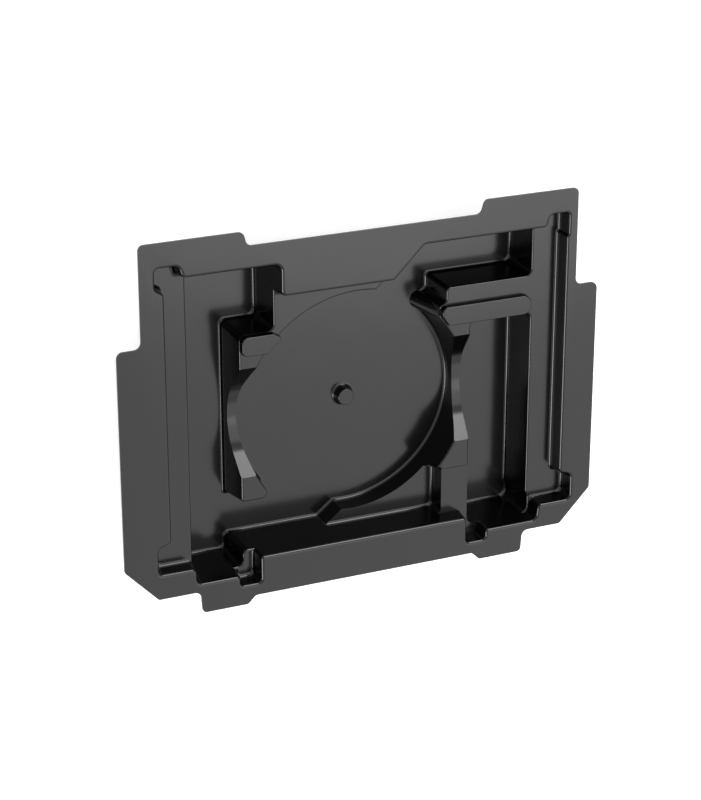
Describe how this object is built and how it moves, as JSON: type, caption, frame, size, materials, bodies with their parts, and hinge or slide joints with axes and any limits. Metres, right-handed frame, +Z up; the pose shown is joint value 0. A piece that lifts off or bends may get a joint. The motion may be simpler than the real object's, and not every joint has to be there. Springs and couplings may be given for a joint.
{
  "type": "tool case insert",
  "caption": "Vacuum-formed tray that lines a tool case: flat stepped flange, deep pockets, a round recess with a centring boss, ribs, side ledges and a finger trough.",
  "frame": {"origin": "middle of the outline, on the plane that the underside of the main floor rests on", "axes": "+X along the long side towards the double-width ledge, +Y towards the flange tongue, +Z up out of the pockets"},
  "size_m": [0.375, 0.2846, 0.045],
  "materials": {
    "tray_sheet": "smooth vacuum-formed polystyrene, semi-gloss"
  },
  "bodies": {
    "root": {"insert_tray": "tray_sheet"}
  },
  "joints": []
}
